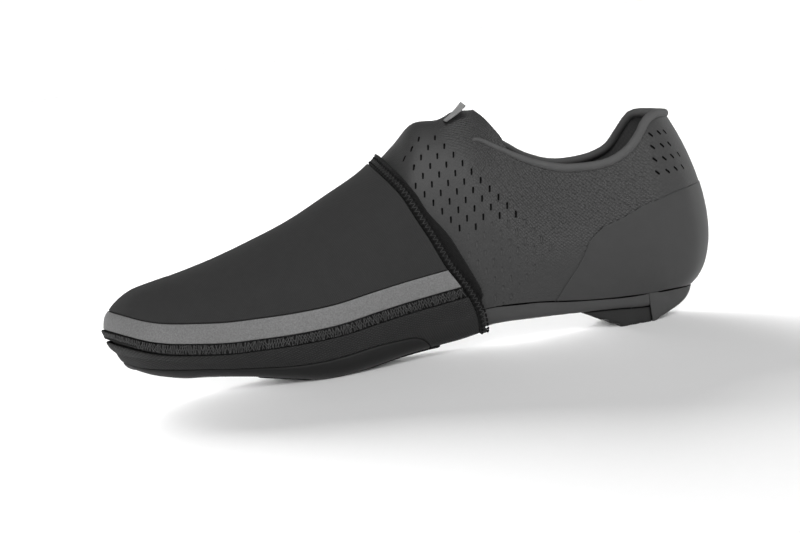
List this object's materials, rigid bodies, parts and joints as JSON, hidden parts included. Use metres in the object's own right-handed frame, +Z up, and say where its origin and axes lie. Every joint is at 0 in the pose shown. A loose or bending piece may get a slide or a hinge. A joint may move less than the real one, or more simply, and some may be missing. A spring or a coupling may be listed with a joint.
{
  "type": "cycling toe cover on a road cycling shoe",
  "caption": "Left road-cycling shoe with a stretch toe cover over its front, hollow and open at the collar, standing on its sole.",
  "frame": {"origin": "on the floor under the middle of the whole, cover included", "axes": "+X towards the heel, +Y towards the inner side of the foot, +Z up"},
  "size_m": [0.2906, 0.1006, 0.1138],
  "materials": {
    "sole_shell": "moulded composite, satin",
    "heel_rubber": "moulded rubber, matt",
    "tread_rubber": "moulded rubber, matt",
    "lining": "knitted lining",
    "upper_fabric": "coated textile with a fine pebbled relief",
    "counter_film": "smooth bonded film, matt",
    "piping": "padded knitted roll",
    "woven_tape": "woven tape",
    "neoprene": "jersey-faced neoprene",
    "reflective_tape": "bonded reflective tape, fine grain",
    "seam_thread": "overlock and flat-lock thread",
    "rib_knit": "twill-faced stretch knit",
    "grip_rubber": "rubberised sole fabric",
    "hem_binding": "folded elastic binding, flat-lock stitched"
  },
  "bodies": {
    "root": {"outsole": "sole_shell", "heel_bumper": "heel_rubber", "heel_tread": "tread_rubber", "insole": "lining", "upper": "upper_fabric", "heel_counter": "counter_film", "collar_piping": "piping", "tongue": "lining", "tongue_tab": "woven_tape", "cover_top": "neoprene", "cover_strip": "reflective_tape", "cover_seam": "seam_thread", "cover_side": "rib_knit", "cover_sole": "grip_rubber", "cover_binding": "seam_thread", "cover_hem": "hem_binding"}
  },
  "joints": []
}
